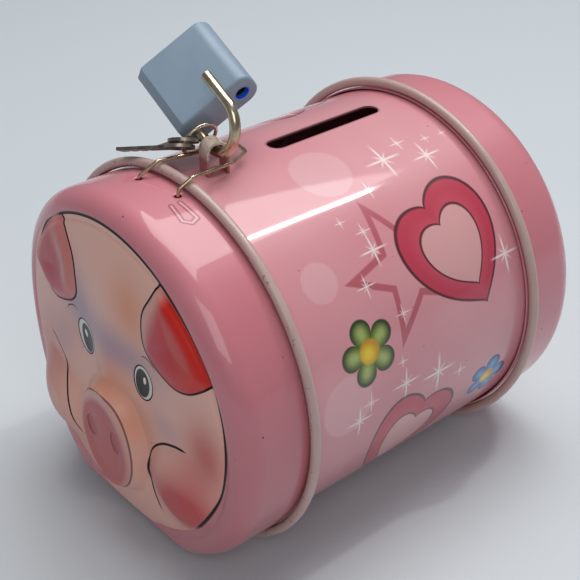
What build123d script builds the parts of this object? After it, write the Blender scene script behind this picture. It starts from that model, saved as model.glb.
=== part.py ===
from build123d import *
import math
import os

# Tin money box: a tinplate barrel lying on a flattened base, with a pressed animal-face lid at
# the front (-Y), a plain cap at the rear (+Y), a coin slot on top, and a small padlock that
# holds the lid's wire hasp to a staple. All sizes are in millimetres.
# Frame: X across, +Y along the barrel towards the plain cap, +Z up. The origin is the middle
# of the base, half way between the two curled rims.

# ---- driving dimensions -------------------------------------------------------------------
SHEET = 0.4  # tinplate thickness
TUBE_RADIUS = 42.0  # outside of the barrel
BASE_DROP = 4.5  # how far the base cuts into the round section
BASE_CORNER = 12.0  # radius between the base flat and the round side
SKIRT_RADIUS = 42.75  # outside of both caps' skirts
CURL_RADIUS = 44.05  # centre line of the curled rims
CURL_WIRE = 1.15  # radius of the rolled edge
RIM_SPACING = 67.5  # from one curled rim to the other
CAP_DEPTH = 17.2  # from a rim to the flat end of its cap
CAP_SHOULDER = 5.5  # rounded edge between skirt and end
TUBE_INSET = 1.5  # how far the barrel's mouth reaches into the lid
CAP_INSET = 3.0  # how far the barrel reaches into the rear cap
SLOT_LENGTH, SLOT_WIDTH = 32.3, 4.6
SLOT_FROM_RIM = 26.0  # from the front rim to the near end of the slot

RIM_FLAT = 0.25  # how much the curled rims are pressed flat where the tin stands
SNOUT_RISE = 5.6  # how far the snout stands out of the lid's end

AXIS_Z = CURL_RADIUS + CURL_WIRE - BASE_DROP - RIM_FLAT  # height of the barrel's axis
FRONT_RIM_Y = -(RIM_SPACING - SNOUT_RISE) / 2  # the origin is midway between snout and rear
REAR_RIM_Y = FRONT_RIM_Y + RIM_SPACING


def at(x, from_rim, above_axis):
    """A point given from the barrel's axis and the front rim's plane."""
    return (x, FRONT_RIM_Y + from_rim, AXIS_Z + above_axis)


def crosswise(y, facing):
    """A sketch plane across the barrel at y, its normal along +Y (facing 1) or -Y (-1)."""
    return Plane(origin=(0, y, AXIS_Z), x_dir=(-facing, 0, 0), z_dir=(0, facing, 0))


def aimed(origin, heading, dip, roll):
    """A plane whose normal runs at a heading round Z and dips below level, rolled about itself."""
    turn, down, spin = (math.radians(a) for a in (heading, dip, roll))
    normal = Vector(math.cos(down) * math.cos(turn), math.cos(down) * math.sin(turn),
                    -math.sin(down))
    level = Vector(-math.sin(turn), math.cos(turn), 0)
    across = level * math.cos(spin) + normal.cross(level) * math.sin(spin)
    return Plane(origin=origin, x_dir=across, z_dir=normal)


def section(radius):
    """The barrel's outline at a radius: a circle with a flattened base, both offset alike."""
    grow = radius - TUBE_RADIUS
    flat = radius - BASE_DROP
    with BuildSketch(mode=Mode.PRIVATE) as outline:
        Circle(radius)
        with Locations((0, -flat)):
            Rectangle(4 * radius, 2 * radius, align=(Align.CENTER, Align.MAX),
                      mode=Mode.SUBTRACT)
        fillet(outline.vertices(), BASE_CORNER + grow)
    return outline.sketch


def end_cap(rim_y, direction):
    """A pressed cap: end, rounded shoulder, skirt and the outward curl round its rim."""
    plane = crosswise(rim_y, direction)
    with BuildPart() as cap:
        with BuildSketch(plane):
            add(section(SKIRT_RADIUS))
        extrude(amount=CAP_DEPTH)
        end = cap.faces().sort_by(Axis.Y)[-1 if direction > 0 else 0]
        fillet(end.edges(), CAP_SHOULDER)
        with BuildSketch(plane):
            add(section(SKIRT_RADIUS))
        extrude(amount=-0.9)
        with BuildSketch(plane.offset(-0.9)):
            add(section(CURL_RADIUS))
        extrude(amount=0.45)
        with BuildPart(mode=Mode.PRIVATE) as hollow:
            with BuildSketch(plane):
                add(section(SKIRT_RADIUS - SHEET))
            extrude(amount=CAP_DEPTH - SHEET)
            inner = hollow.faces().sort_by(Axis.Y)[-1 if direction > 0 else 0]
            fillet(inner.edges(), CAP_SHOULDER - SHEET)
            with BuildSketch(plane):
                add(section(SKIRT_RADIUS - SHEET))
            extrude(amount=-1.2)
        add(hollow.part, mode=Mode.SUBTRACT)
        rim = section(CURL_RADIUS).face().outer_wire().moved(plane.location)
        start = rim.position_at(0)
        with BuildSketch(Plane(origin=start, z_dir=rim.tangent_at(0))):
            Circle(CURL_WIRE)
        sweep(path=rim, transition=Transition.ROUND)
        with BuildSketch(Plane.XY):
            Rectangle(4 * CURL_RADIUS, 4 * CURL_RADIUS)
        extrude(amount=-2 * RIM_FLAT, mode=Mode.SUBTRACT)
    return cap


def wire(points, radii, thickness):
    """A round wire along straight runs joined by tangent bends."""
    with BuildPart() as bent:
        with BuildLine() as route:
            FilletPolyline(*points, radius=radii)
        with BuildSketch(Plane(origin=route.line @ 0, z_dir=route.line % 0)):
            Circle(thickness / 2)
        sweep(path=route.line)
    return bent


# ---- barrel -------------------------------------------------------------------------------
STAPLE_X, STAPLE_FROM_RIM, STAPLE_TURN = 1.6, 9.9, -13.0  # where it stands and how it is turned
STAPLE_WIDTH = 4.0  # of the strip it is bent from
STAPLE_SHEET = 0.5
EYE_RADIUS = 2.0  # inside the round top of the staple
EYE_TOP = 6.7  # from the barrel's surface to the inside of the arch
FOOT = 3.2  # length of the tabs bent under the barrel's wall
staple_plane = Plane(origin=at(STAPLE_X, STAPLE_FROM_RIM, 0), x_dir=(0, 0, 1),
                     z_dir=Vector(1, 0, 0).rotate(Axis.Z, STAPLE_TURN))

with BuildPart() as body_tube:
    with BuildSketch(crosswise(FRONT_RIM_Y - TUBE_INSET, 1)):
        add(section(TUBE_RADIUS))
        add(section(TUBE_RADIUS - SHEET), mode=Mode.SUBTRACT)
    extrude(amount=TUBE_INSET + RIM_SPACING + CAP_INSET)
    slot_middle = at(0, SLOT_FROM_RIM + SLOT_LENGTH / 2, TUBE_RADIUS - 2)
    with BuildSketch(Plane(origin=slot_middle)):
        SlotOverall(SLOT_LENGTH, SLOT_WIDTH, rotation=90)
    extrude(amount=4, mode=Mode.SUBTRACT)
    with BuildSketch(Plane(origin=at(STAPLE_X, STAPLE_FROM_RIM, TUBE_RADIUS - 2),
                           x_dir=staple_plane.z_dir)):
        with Locations((0, EYE_RADIUS + STAPLE_SHEET / 2), (0, -EYE_RADIUS - STAPLE_SHEET / 2)):
            Rectangle(STAPLE_WIDTH + 0.2, STAPLE_SHEET + 0.2)
    extrude(amount=4, mode=Mode.SUBTRACT)
body_tube.part.label = "body_tube"

# ---- rear cap -----------------------------------------------------------------------------
rear_cap = end_cap(REAR_RIM_Y, 1)
rear_cap.part.label = "rear_cap"

# ---- lid with its pressed face ------------------------------------------------------------
SNOUT_WIDTH, SNOUT_HEIGHT = 21.0, 28.0
SNOUT_TAPER = 1.2  # how much smaller its top is all round
SNOUT_DROP = 13.0  # from the axis down to the snout's middle
HASP_HOLE_RADIUS = 0.8
HASP_LEFT, HASP_RIGHT = at(-5.2, -4.45, 0), at(6.1, -3.0, 0)  # the two holes in the skirt
HINGE_WIDTH = 16.0
HINGE_AXIS = at(0, 3.8, -(TUBE_RADIUS - BASE_DROP) - 1.6)  # below the barrel's base flat
KNUCKLE_RADIUS, PIN_RADIUS = 1.25, 0.6

with BuildPart() as front_lid:
    add(end_cap(FRONT_RIM_Y, -1).part)
    face_plane = crosswise(FRONT_RIM_Y - CAP_DEPTH, -1)
    for inset, sunk, mode in ((0, 0, Mode.ADD), (SHEET, SHEET, Mode.SUBTRACT)):
        # the snout rises from the end as an oval frustum, hollow behind
        for rise, shrink in ((-sunk - 0.5, inset), (SNOUT_RISE - sunk, inset + SNOUT_TAPER)):
            with BuildSketch(face_plane.offset(rise)):
                with Locations((0, -SNOUT_DROP)):
                    Ellipse(SNOUT_WIDTH / 2 - shrink, SNOUT_HEIGHT / 2 - shrink)
        loft(mode=mode)
    for hole in (HASP_LEFT, HASP_RIGHT):
        with BuildSketch(Plane(origin=(hole[0], hole[1], AXIS_Z + TUBE_RADIUS - 3))):
            Circle(HASP_HOLE_RADIUS)
        extrude(amount=6, mode=Mode.SUBTRACT)
    # the curl is cut away under the base, where the hinge passes
    notch = at(0, -CURL_WIRE - 0.2, -SKIRT_RADIUS + BASE_DROP)
    with BuildSketch(Plane(origin=notch)):
        Rectangle(HINGE_WIDTH + 1, 2 * CURL_WIRE + 0.4, align=(Align.CENTER, Align.MIN))
    extrude(amount=-4, mode=Mode.SUBTRACT)
front_lid.part.label = "front_lid"

# ---- hinge under the base -----------------------------------------------------------------
LEAF_SHEET = 0.5
hinge_plane = Plane(origin=HINGE_AXIS, x_dir=(0, 1, 0), z_dir=(1, 0, 0))
flat_above_pin = (AXIS_Z - TUBE_RADIUS + BASE_DROP) - HINGE_AXIS[2]
skirt_above_pin = (AXIS_Z - SKIRT_RADIUS + BASE_DROP) - HINGE_AXIS[2]


def leaf(above_pin, reach, knuckles):
    """A hinge leaf: a flat tab under the tin, rolled into knuckles (start, length) round the pin."""
    with BuildPart() as made:
        for start, length in knuckles:
            with BuildSketch(hinge_plane.offset(start)):
                Circle(KNUCKLE_RADIUS)
                with Locations((reach / 2, above_pin - LEAF_SHEET / 2 - 0.02)):
                    Rectangle(abs(reach), LEAF_SHEET)
                Circle(PIN_RADIUS + 0.05, mode=Mode.SUBTRACT)
            extrude(amount=length)
    return made


KNUCKLE_GAP = 0.2
third = HINGE_WIDTH / 3
hinge_leaf_body = leaf(flat_above_pin, 8.0, [(-HINGE_WIDTH / 2, third - KNUCKLE_GAP),
                                             (third / 2 + KNUCKLE_GAP, third - KNUCKLE_GAP)])
hinge_leaf_body.part.label = "hinge_leaf_body"
hinge_leaf_lid = leaf(skirt_above_pin, -9.5, [(-third / 2, third)])
hinge_leaf_lid.part.label = "hinge_leaf_lid"

with BuildPart() as hinge_pin:
    with BuildSketch(hinge_plane.offset(-HINGE_WIDTH / 2 - 0.8)):
        Circle(PIN_RADIUS)
    extrude(amount=HINGE_WIDTH + 1.6)
hinge_pin.part.label = "hinge_pin"

# ---- staple -------------------------------------------------------------------------------
arch_height = TUBE_RADIUS + EYE_TOP - EYE_RADIUS  # centre of the round top, from the axis
foot_height = TUBE_RADIUS - SHEET - 0.4  # top of the bent-out tabs
with BuildPart() as staple:
    with BuildSketch(staple_plane.offset(-STAPLE_WIDTH / 2)):
        for radius, mode in ((EYE_RADIUS + STAPLE_SHEET, Mode.ADD), (EYE_RADIUS, Mode.SUBTRACT)):
            with Locations((arch_height, 0)):
                Circle(radius, mode=mode)
            with Locations((arch_height, 0)):
                Rectangle(arch_height - foot_height + STAPLE_SHEET, 2 * radius,
                          align=(Align.MAX, Align.CENTER), mode=mode)
        for side in (1, -1):
            with Locations((foot_height - STAPLE_SHEET / 2, side * (EYE_RADIUS + FOOT / 2))):
                Rectangle(STAPLE_SHEET, FOOT)
    extrude(amount=STAPLE_WIDTH)
staple.part.label = "staple"

# ---- wire hasp ----------------------------------------------------------------------------
HASP_WIRE = 0.8
INSIDE_LID = 40.7  # height above the axis of the wire's ends inside the skirt
hasp_points = [
    at(-5.2, -7.4, INSIDE_LID), at(-5.3, -4.6, INSIDE_LID), at(-5.1, -4.3, 43.1),
    at(-3.4, -0.8, 45.85), at(-2.9, 9.0, 44.9), at(-3.6, 16.0, 44.7), at(-1.3, 18.5, 44.4),
    at(2.7, 17.4, 44.5), at(5.4, 12.0, 44.7), at(7.0, 0.2, 45.65), at(6.2, -2.7, 43.7),
    at(6.0, -3.2, INSIDE_LID), at(5.9, -6.0, INSIDE_LID),
]
hasp_wire = wire(hasp_points, [0.6, 0.6, 0.9, 4, 1.3, 1.3, 1.3, 4, 0.9, 0.6, 0.6], HASP_WIRE)
hasp_wire.part.label = "hasp_wire"

# ---- padlock ------------------------------------------------------------------------------
LOCK_WIDTH, LOCK_HEIGHT, LOCK_DEPTH = 19.0, 18.8, 8.6
LEG_SPACING = 12.0  # between the shackle's two legs
SHACKLE_WIRE = 2.3
LEG_OUT = 4.8  # straight part of the fixed leg outside the body
FREE_LEG_PAST = 3.5  # how far the free leg's tip reaches back past the shackle end of the body
LEG_IN = 13.0
SHACKLE_TURN = 44.0  # how far the shackle is turned out of the body's plane
LOCK_WALL = 1.0
LOCK_CHAMFER = 2.0
LOCK_FROM_STAPLE = at(-4.5, 10.5, 49.1)  # the fixed leg's hole in the body
lock = aimed(LOCK_FROM_STAPLE, -6, 23, 38)
LOCK_MIDDLE = LEG_SPACING / 2
PLUG_RADIUS = 2.3


def lock_block(width, height, depth, chamfer_by, top=0.0):
    """A chamfered block in the padlock's frame, reaching back from its shackle end."""
    with BuildPart(mode=Mode.PRIVATE) as block:
        with BuildSketch(lock.offset(-top)):
            with Locations((LOCK_MIDDLE, 0)):
                Rectangle(width, depth)
        extrude(amount=-height)
        if chamfer_by:
            chamfer(block.edges().filter_by(lambda e: abs(e.tangent_at(0).dot(lock.z_dir)) > 0.99),
                    chamfer_by)
    return block.part


def lock_bore(x, y, radius, top, depth):
    """A round bore along the padlock's height, from a level below its shackle end."""
    with BuildPart(mode=Mode.PRIVATE) as bore:
        with BuildSketch(lock.offset(-top)):
            with Locations((x, y)):
                Circle(radius)
        extrude(amount=-depth)
    return bore.part


def case_half(side):
    """One half of the moulded cover: front (1) or back (-1), hollow, with the leg holes."""
    with BuildPart() as half:
        add(lock_block(LOCK_WIDTH, LOCK_HEIGHT, LOCK_DEPTH, LOCK_CHAMFER))
        add(lock_block(LOCK_WIDTH - 2 * LOCK_WALL, LOCK_HEIGHT - 2 * LOCK_WALL,
                       LOCK_DEPTH - 2 * LOCK_WALL, LOCK_CHAMFER - 0.6, LOCK_WALL),
            mode=Mode.SUBTRACT)
        add(lock_bore(0, 0, SHACKLE_WIRE / 2 + 0.25, -1, 3), mode=Mode.SUBTRACT)
        add(lock_bore(LEG_SPACING, 0, SHACKLE_WIRE / 2 + 0.35, -1, 3), mode=Mode.SUBTRACT)
        add(lock_bore(LOCK_MIDDLE, 0, PLUG_RADIUS + 0.3, LOCK_HEIGHT - LOCK_WALL - 1, 3),
            mode=Mode.SUBTRACT)
        split(bisect_by=Plane(origin=lock.origin, z_dir=lock.y_dir),
              keep=Keep.TOP if side > 0 else Keep.BOTTOM)
    return half


case_front = case_half(1)
case_front.part.label = "case_front"
case_back = case_half(-1)
case_back.part.label = "case_back"

LATCH_TOP, LATCH_THICKNESS, LATCH_TRAVEL = 7.0, 1.6, 1.7
PLUG_END = LATCH_TOP + LATCH_THICKNESS + 0.4  # where the plug's inner end lies
CAM_OFFSET, CAM_RADIUS = 1.2, 0.45
cam_x = LOCK_MIDDLE + CAM_OFFSET * math.cos(math.radians(45))
cam_y = CAM_OFFSET * math.sin(math.radians(45))


def latch_box(x_low, x_high, y_low, y_high, top, thickness):
    """A box in the padlock's frame given by its limits."""
    with BuildPart(mode=Mode.PRIVATE) as box:
        with BuildSketch(lock.offset(-top)):
            with Locations(((x_low + x_high) / 2, (y_low + y_high) / 2)):
                Rectangle(x_high - x_low, y_high - y_low)
        extrude(amount=-thickness)
    return box.part


with BuildPart() as lock_core:
    add(lock_block(LOCK_WIDTH - 2 * LOCK_WALL - 0.1, LOCK_HEIGHT - 2 * LOCK_WALL - 0.1,
                   LOCK_DEPTH - 2 * LOCK_WALL - 0.1, LOCK_CHAMFER - 0.6, LOCK_WALL + 0.05))
    add(lock_bore(0, 0, SHACKLE_WIRE / 2 + 0.06, 0, LEG_IN + 0.5), mode=Mode.SUBTRACT)
    add(lock_bore(LEG_SPACING, 0, SHACKLE_WIRE / 2 + 0.12, 0, 9), mode=Mode.SUBTRACT)
    add(lock_bore(LOCK_MIDDLE, 0, PLUG_RADIUS + 0.06, PLUG_END - 0.1, LOCK_HEIGHT),
        mode=Mode.SUBTRACT)
    add(latch_box(2.2, LEG_SPACING - 0.7, -1.3, 2.4, LATCH_TOP - 0.1, LATCH_THICKNESS + 0.5),
        mode=Mode.SUBTRACT)
lock_core.part.label = "lock_core"

with BuildPart() as lock_plug:
    add(lock_bore(LOCK_MIDDLE, 0, PLUG_RADIUS, PLUG_END, LOCK_HEIGHT - PLUG_END - 0.2))
    add(lock_bore(cam_x, cam_y, CAM_RADIUS, LATCH_TOP + 0.2, PLUG_END - LATCH_TOP))
    add(latch_box(LOCK_MIDDLE - 1.4, LOCK_MIDDLE + 1.4, -0.45, 0.45, LOCK_HEIGHT - 5, 6),
        mode=Mode.SUBTRACT)
lock_plug.part.label = "lock_plug"

with BuildPart() as latch:
    add(latch_box(4.6, 8.3, -1.2, 2.3, LATCH_TOP, LATCH_THICKNESS))
    add(latch_box(8.0, LEG_SPACING - 0.8, -0.8, 0.8, LATCH_TOP, LATCH_THICKNESS))
    add(latch_box(cam_x - CAM_RADIUS - 0.2, cam_x + CAM_RADIUS + 0.2, cam_y - CAM_RADIUS - 0.2,
                  CAM_OFFSET + CAM_RADIUS + 0.2, LATCH_TOP - 1, LATCH_THICKNESS + 2),
        mode=Mode.SUBTRACT)
latch.part.label = "latch"

# shackle: a fixed leg inside the body, a round bow and a shorter free leg
turn = math.radians(SHACKLE_TURN)
shackle_plane = Plane(origin=lock.origin,
                      x_dir=lock.x_dir * math.cos(turn) + lock.y_dir * math.sin(turn),
                      z_dir=lock.y_dir * math.cos(turn) - lock.x_dir * math.sin(turn))
with BuildPart() as shackle:
    with BuildLine(shackle_plane) as bend:
        # in this plane the legs run along local Y, which points into the body
        Line((0, LEG_IN), (0, -LEG_OUT))
        ThreePointArc((0, -LEG_OUT), (LEG_SPACING / 2, -LEG_OUT - LEG_SPACING / 2),
                      (LEG_SPACING, -LEG_OUT))
        Line((LEG_SPACING, -LEG_OUT), (LEG_SPACING, FREE_LEG_PAST))
    with BuildSketch(Plane(origin=bend.line @ 0, z_dir=bend.line % 0)):
        Circle(SHACKLE_WIRE / 2)
    sweep(path=bend.line)
    tip = shackle.faces().filter_by(GeomType.PLANE).sort_by(
        lambda f: (f.center() - lock.origin).length)[0]
    chamfer(tip.edges(), 0.35)
shackle.part.label = "shackle"

# ---- key ring and keys --------------------------------------------------------------------
RING_RADIUS, RING_WIRE = 4.1, 0.76
RING_ON_LEG = 1.9  # along the fixed leg, outside the body
RING_SAG = 0.9  # how far its centre lies from the leg's axis
RING_HANG = 194.0  # direction in which it hangs, in the padlock's frame
hang = math.radians(RING_HANG)
hang_dir = lock.x_dir * math.cos(hang) + lock.y_dir * math.sin(hang)
ring_centre = lock.origin + lock.z_dir * RING_ON_LEG + hang_dir * RING_SAG
ring_plane = Plane(origin=ring_centre, x_dir=hang_dir,
                   z_dir=lock.z_dir.rotate(Axis((0, 0, 0), hang_dir), -5))
with BuildPart() as key_ring:
    with BuildLine(ring_plane) as hoop:
        CenterArc((0, 0), RING_RADIUS, 0, 360)
    with BuildSketch(Plane(origin=hoop.line @ 0, z_dir=hoop.line % 0)):
        Circle(RING_WIRE / 2)
    sweep(path=hoop.line)
key_ring.part.label = "key_ring"

KEY_LENGTH, KEY_SHEET = 15.0, 0.7
KEY_BOW, KEY_HOLE = 3.3, 1.7  # radii of the key's round bow and its hole
BLADE_WIDTH = 3.0


def key(ring_angle, heading, dip, roll, swing=0):
    """A flat key hung on the ring at an angle round it, swung within its own plane."""
    place = math.radians(ring_angle)
    centre = (ring_plane.origin + ring_plane.x_dir * RING_RADIUS * math.cos(place)
              + ring_plane.y_dir * RING_RADIUS * math.sin(place))
    along = aimed(centre, heading, dip, roll)
    pointing = along.z_dir.rotate(Axis((0, 0, 0), along.y_dir), swing)
    flat = Plane(origin=centre, x_dir=pointing, z_dir=along.y_dir)
    with BuildPart() as made:
        with BuildSketch(flat.offset(-KEY_SHEET / 2)):
            with Locations((KEY_BOW - KEY_HOLE - 0.8, 0)):
                Circle(KEY_BOW)
            with Locations((KEY_BOW, 0)):
                Rectangle(KEY_LENGTH - KEY_BOW, BLADE_WIDTH, align=(Align.MIN, Align.CENTER))
            for tooth in range(3):
                with Locations((KEY_LENGTH - 2.0 - 2.2 * tooth, -BLADE_WIDTH / 2)):
                    Rectangle(1.0, 1.2 + 0.3 * (tooth % 2), mode=Mode.SUBTRACT)
            Circle(KEY_HOLE, mode=Mode.SUBTRACT)
        extrude(amount=KEY_SHEET)
    return made


key_1 = key(-42, 209, 11, 30)
key_1.part.label = "key_1"
key_2 = key(-69, 209, 11, 30, -42)
key_2.part.label = "key_2"

# ---- write every piece --------------------------------------------------------------------
os.makedirs("parts", exist_ok=True)
pieces = [body_tube, rear_cap, front_lid, hinge_leaf_body, hinge_leaf_lid, hinge_pin, staple,
          hasp_wire, shackle, case_front, case_back, lock_core, lock_plug, latch, key_ring,
          key_1, key_2]
for piece in pieces:
    export_step(piece.part, f"parts/{piece.part.label}.step")
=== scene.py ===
import math

import bpy
import numpy as np
from mathutils import Matrix, Vector
from mathutils import noise as perlin


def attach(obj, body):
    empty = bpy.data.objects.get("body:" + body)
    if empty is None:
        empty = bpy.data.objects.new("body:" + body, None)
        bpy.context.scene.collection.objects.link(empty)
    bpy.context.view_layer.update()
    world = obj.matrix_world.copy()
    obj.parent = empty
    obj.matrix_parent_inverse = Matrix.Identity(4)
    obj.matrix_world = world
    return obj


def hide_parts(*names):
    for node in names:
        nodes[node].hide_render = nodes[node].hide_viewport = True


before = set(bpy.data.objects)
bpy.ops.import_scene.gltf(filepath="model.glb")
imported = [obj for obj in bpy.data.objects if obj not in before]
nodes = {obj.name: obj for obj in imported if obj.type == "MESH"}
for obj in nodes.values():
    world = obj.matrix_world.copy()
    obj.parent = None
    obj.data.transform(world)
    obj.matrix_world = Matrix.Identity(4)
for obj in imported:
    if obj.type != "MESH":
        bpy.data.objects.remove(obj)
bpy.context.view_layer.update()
MM = 0.001

# ---- the tin's own measures, in millimetres ------------------------------------------------
TUBE_RADIUS, SKIRT_RADIUS, CURL_RADIUS = 42.0, 42.75, 44.05
CURL_WIRE, BASE_DROP, BASE_CORNER, RIM_FLAT = 1.15, 4.5, 12.0, 0.25
RIM_SPACING, CAP_DEPTH, CAP_SHOULDER = 67.5, 17.2, 5.5
SNOUT_RISE = 5.6
SHEET, CURL_SHEET = 0.4, 0.22
SLOT_FROM_RIM, SLOT_LENGTH, SLOT_WIDTH = 26.0, 32.3, 4.6
AXIS_Z = CURL_RADIUS + CURL_WIRE - BASE_DROP - RIM_FLAT
FRONT_RIM_Y = -(RIM_SPACING - SNOUT_RISE) / 2
REAR_RIM_Y = FRONT_RIM_Y + RIM_SPACING


def srgb(*levels):
    """A colour from 0-255 screen levels, as the linear values a shader takes."""
    line = [v / 255 for v in levels]
    return tuple(v / 12.92 if v < 0.04045 else ((v + 0.055) / 1.055) ** 2.4 for v in line) + (1,)


# ---- camera --------------------------------------------------------------------------------
def look(position, right, up, lens):
    camera = bpy.data.objects.new("camera", bpy.data.cameras.new("camera"))
    camera.data.lens, camera.data.sensor_width = lens, 36.0
    camera.data.clip_start, camera.data.clip_end = 0.01, 20
    right, up = Vector(right).normalized(), Vector(up).normalized()
    turn = Matrix((right, up, right.cross(up))).transposed().to_4x4()
    camera.matrix_world = Matrix.Translation(Vector(position) * MM) @ turn
    bpy.context.scene.collection.objects.link(camera)
    bpy.context.scene.camera = camera


look((180.1, FRONT_RIM_Y - 124.7, AXIS_Z + 150.3), (0.6586, 0.7525, -0.006),
     (-0.3916, 0.3495, 0.8512), 73.7)


# ---- numbers that vary over a surface ------------------------------------------------------
class Field:
    """A value in a node tree that can be reckoned with like a number."""

    def __init__(self, tree, socket):
        self.tree, self.socket = tree, socket

    def op(self, kind, *others, clamp=False):
        node = self.tree.nodes.new("ShaderNodeMath")
        node.operation, node.use_clamp = kind, clamp
        for slot, value in zip(node.inputs, (self,) + others):
            if isinstance(value, Field):
                self.tree.links.new(value.socket, slot)
            else:
                slot.default_value = value
        return Field(self.tree, node.outputs[0])

    def __add__(self, other):
        return self.op("ADD", other)

    def __sub__(self, other):
        return self.op("SUBTRACT", other)

    def __mul__(self, other):
        return self.op("MULTIPLY", other)

    def __truediv__(self, other):
        return self.op("DIVIDE", other)

    def __pow__(self, power):
        return self.op("POWER", power)

    def flipped(self):
        return self * -1 + 1

    def size(self):
        return self.op("ABSOLUTE")

    def least(self, other):
        return self.op("MINIMUM", other)

    def most(self, other):
        return self.op("MAXIMUM", other)

    def inside(self, edge, blur):
        """1 where the value is under the edge, fading over the blur."""
        return ((self - edge) * (-1 / blur) + 0.5).op("ADD", 0.0, clamp=True)

    def band(self, width, blur):
        """1 where the value is within half a width of zero."""
        return self.size().inside(width / 2, blur)


def far(a, b):
    return (a * a + b * b).op("SQRT")


def object_mm(tree):
    """x, y and z on the object, in millimetres."""
    coords = tree.nodes.new("ShaderNodeTexCoord")
    split = tree.nodes.new("ShaderNodeSeparateXYZ")
    tree.links.new(coords.outputs["Object"], split.inputs[0])
    return [Field(tree, split.outputs[i]) * 1000 for i in range(3)]


def speckle(tree, scale, detail=2.0, stretch=(1, 1, 1)):
    """Soft noise on object coordinates, with the scale in lumps per metre."""
    coords = tree.nodes.new("ShaderNodeTexCoord")
    mapping = tree.nodes.new("ShaderNodeMapping")
    mapping.inputs["Scale"].default_value = stretch
    grain = tree.nodes.new("ShaderNodeTexNoise")
    grain.inputs["Scale"].default_value = scale
    grain.inputs["Detail"].default_value = detail
    tree.links.new(coords.outputs["Object"], mapping.inputs["Vector"])
    tree.links.new(mapping.outputs[0], grain.inputs["Vector"])
    return Field(tree, grain.outputs["Fac"])


def carried(tree, name):
    """A number stored on the mesh."""
    node = tree.nodes.new("ShaderNodeAttribute")
    node.attribute_name = name
    return Field(tree, node.outputs["Fac"])


def blend(tree, mask, under, over):
    """Two colours mixed by a mask; either may be a socket or a plain colour."""
    node = tree.nodes.new("ShaderNodeMix")
    node.data_type = "RGBA"
    for slot, value in ((node.inputs[6], under), (node.inputs[7], over)):
        if isinstance(value, tuple):
            slot.default_value = value
        else:
            tree.links.new(value, slot)
    tree.links.new(mask.socket, node.inputs[0])
    return node.outputs[2]


def bump(tree, height, depth_mm):
    node = tree.nodes.new("ShaderNodeBump")
    node.inputs["Strength"].default_value = 1.0
    node.inputs["Distance"].default_value = depth_mm * MM
    tree.links.new(height.socket, node.inputs["Height"])
    return node.outputs["Normal"]


def new_material(name, coat=0.0, coat_rough=0.08):
    made = bpy.data.materials.new(name)
    made.use_nodes = True
    shader = made.node_tree.nodes["Principled BSDF"]
    shader.inputs["Coat Weight"].default_value = coat
    shader.inputs["Coat Roughness"].default_value = coat_rough
    return made, made.node_tree, shader


def feed(tree, shader, colour=None, roughness=None, normal=None, metallic=None):
    if colour is not None:
        tree.links.new(colour, shader.inputs["Base Color"])
    if roughness is not None:
        tree.links.new(roughness.socket, shader.inputs["Roughness"])
    if normal is not None:
        tree.links.new(normal, shader.inputs["Normal"])
    if metallic is not None:
        tree.links.new(metallic.socket, shader.inputs["Metallic"])


def group(name, inputs, outputs, build):
    """A shader node group with float inputs and outputs, filled by build(tree, fields)."""
    tree = bpy.data.node_groups.new(name, "ShaderNodeTree")
    for label in inputs:
        tree.interface.new_socket(label, in_out="INPUT", socket_type="NodeSocketFloat")
    for label in outputs:
        tree.interface.new_socket(label, in_out="OUTPUT", socket_type="NodeSocketFloat")
    source = tree.nodes.new("NodeGroupInput")
    sink = tree.nodes.new("NodeGroupOutput")
    results = build(tree, [Field(tree, source.outputs[i]) for i in range(len(inputs))])
    for i, result in enumerate(results):
        tree.links.new(result.socket, sink.inputs[i])
    return tree


def place(tree, shared, *values):
    """Puts a node group in a tree and returns its outputs as fields."""
    node = tree.nodes.new("ShaderNodeGroup")
    node.node_tree = shared
    for slot, value in zip(node.inputs, values):
        if isinstance(value, Field):
            tree.links.new(value.socket, slot)
        else:
            slot.default_value = value
    return [Field(tree, output) for output in node.outputs]


# ---- shared effects ------------------------------------------------------------------------
def sparkle(tree, fields):
    """A four-pointed glint with thin arms and a faint diagonal pair."""
    s, t, at_s, at_t, reach = fields
    a, b = (s - at_s) / reach, (t - at_t) / reach
    out = far(a, b)
    arm = a.size().least(b.size())
    cross = arm.inside(0.045, 0.06) * out.inside(0.75, 0.5)
    c, d = (a + b) * 0.7071, (a - b) * 0.7071
    slant = c.size().least(d.size()).inside(0.035, 0.06) * out.inside(0.38, 0.3)
    core = out.inside(0.1, 0.14)
    return [cross.most(slant * 0.8).most(core)]


def petals(tree, fields):
    """A five-petalled flower: its mask, shading from middle to edge, highlight and centre."""
    s, t, at_s, at_t, reach, turn = fields
    a, b = (s - at_s) / reach, (t - at_t) / reach
    out = far(a, b)
    angle = b.op("ARCTAN2", a) + turn
    lobe = (angle * 2.5).op("COSINE").size()
    edge = (lobe ** 0.55) * 0.5 + 0.5
    mask = (out - edge).inside(0.0, 0.05)
    shade = (out / edge).op("ADD", 0.0, clamp=True)
    rib = (lobe ** 3) * shade.inside(0.8, 0.25) * shade.inside(0.35, 0.3).flipped()
    middle = out.inside(0.36, 0.05)
    return [mask, shade, rib, middle]


def heart(tree, fields):
    """Distance outside a heart's outline, below zero within it, in the heart's own size."""
    s, t, at_s, at_t, reach, turn = fields
    a, b = (s - at_s) / reach, (t - at_t) / reach
    cosine, sine = turn.op("COSINE"), turn.op("SINE")
    x = (a * cosine + b * sine).size()
    y = b * cosine - a * sine + 0.1
    rise = y - (x * 0.75) ** 0.72 * 0.62
    return [far(x * 1.02, rise * 1.08) - 0.95]


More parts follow.
